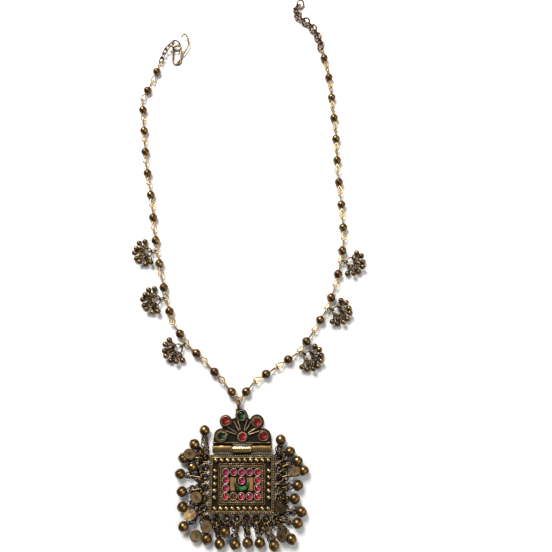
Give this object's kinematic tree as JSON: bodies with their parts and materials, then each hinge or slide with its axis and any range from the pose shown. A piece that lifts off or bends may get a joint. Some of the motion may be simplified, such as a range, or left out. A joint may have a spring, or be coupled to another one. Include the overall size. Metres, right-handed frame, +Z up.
{
  "type": "necklace",
  "caption": "Tribal necklace lying open: hinged square pendant with cut stones, fringe of bells, coin discs, bead chain with ball clusters, wire hook clasp and ring chain.",
  "frame": {"origin": "under the middle of the whole necklace, on the surface it lies on", "axes": "+Y from the pendant towards the open ends of the chain, +X to the right with the pendant nearest, +Z up off the surface"},
  "size_m": [0.141, 0.3431, 0.0078],
  "materials": {
    "bell_brass": "antique gold, satin",
    "chain_bronze": "darkened bronze, satin",
    "clasp_brass": "aged brass wire",
    "cluster_brass": "aged brass, satin",
    "dark_green_glass": "near black green cut glass",
    "disc_bronze": "aged bronze",
    "emerald_glass": "green cut glass",
    "link_brass": "aged brass wire",
    "pendant_brass": "aged brass with dark recesses",
    "red_glass": "red cut glass",
    "rose_brass": "rose coloured brass, satin",
    "ruby_glass": "magenta red cut glass",
    "yellow_brass": "bright brass wire"
  },
  "bodies": {
    "crest_and_chain": {"chain_left_beads": "chain_bronze", "chain_left_wires": "yellow_brass", "chain_right_beads": "chain_bronze", "chain_right_wires": "yellow_brass", "clasp_hook": "clasp_brass", "clasp_links": "clasp_brass", "clasp_ring": "clasp_brass", "cluster_left_bottom": "cluster_brass", "cluster_left_middle": "cluster_brass", "cluster_left_top": "cluster_brass", "cluster_right_bottom": "cluster_brass", "cluster_right_middle": "cluster_brass", "cluster_right_top": "cluster_brass", "crest": "pendant_brass", "crest_stone_foot": "red_glass", "crest_stone_lower_left": "dark_green_glass", "crest_stone_lower_right": "red_glass", "crest_stone_top": "dark_green_glass", "crest_stone_upper_left": "red_glass", "crest_stone_upper_right": "red_glass", "end_ring": "rose_brass", "extension_rings": "rose_brass", "hinge_pin": "yellow_brass"},
    "plate_and_bells": {"bells_bottom": "bell_brass", "bells_left": "bell_brass", "bells_right": "bell_brass", "border_stone_01": "ruby_glass", "border_stone_02": "ruby_glass", "border_stone_03": "ruby_glass", "border_stone_04": "ruby_glass", "border_stone_05": "ruby_glass", "border_stone_06": "ruby_glass", "border_stone_07": "ruby_glass", "border_stone_08": "ruby_glass", "border_stone_09": "ruby_glass", "border_stone_10": "ruby_glass", "border_stone_12": "ruby_glass", "border_stone_13": "ruby_glass", "border_stone_14": "ruby_glass", "centre_stone": "ruby_glass", "crescent_stones": "emerald_glass", "discs_bottom": "disc_bronze", "discs_left": "disc_bronze", "discs_right": "disc_bronze", "links_bottom": "link_brass", "links_left": "link_brass", "links_right": "link_brass", "plate": "pendant_brass"}
  },
  "joints": [
    {"name": "crest_hinge", "type": "hinge", "parent": "crest_and_chain", "child": "plate_and_bells", "pos_m": [-0.00126, -0.12067, 0.0019], "axis": [-1, 0, 0], "range_deg": [-100, 100]}
  ]
}
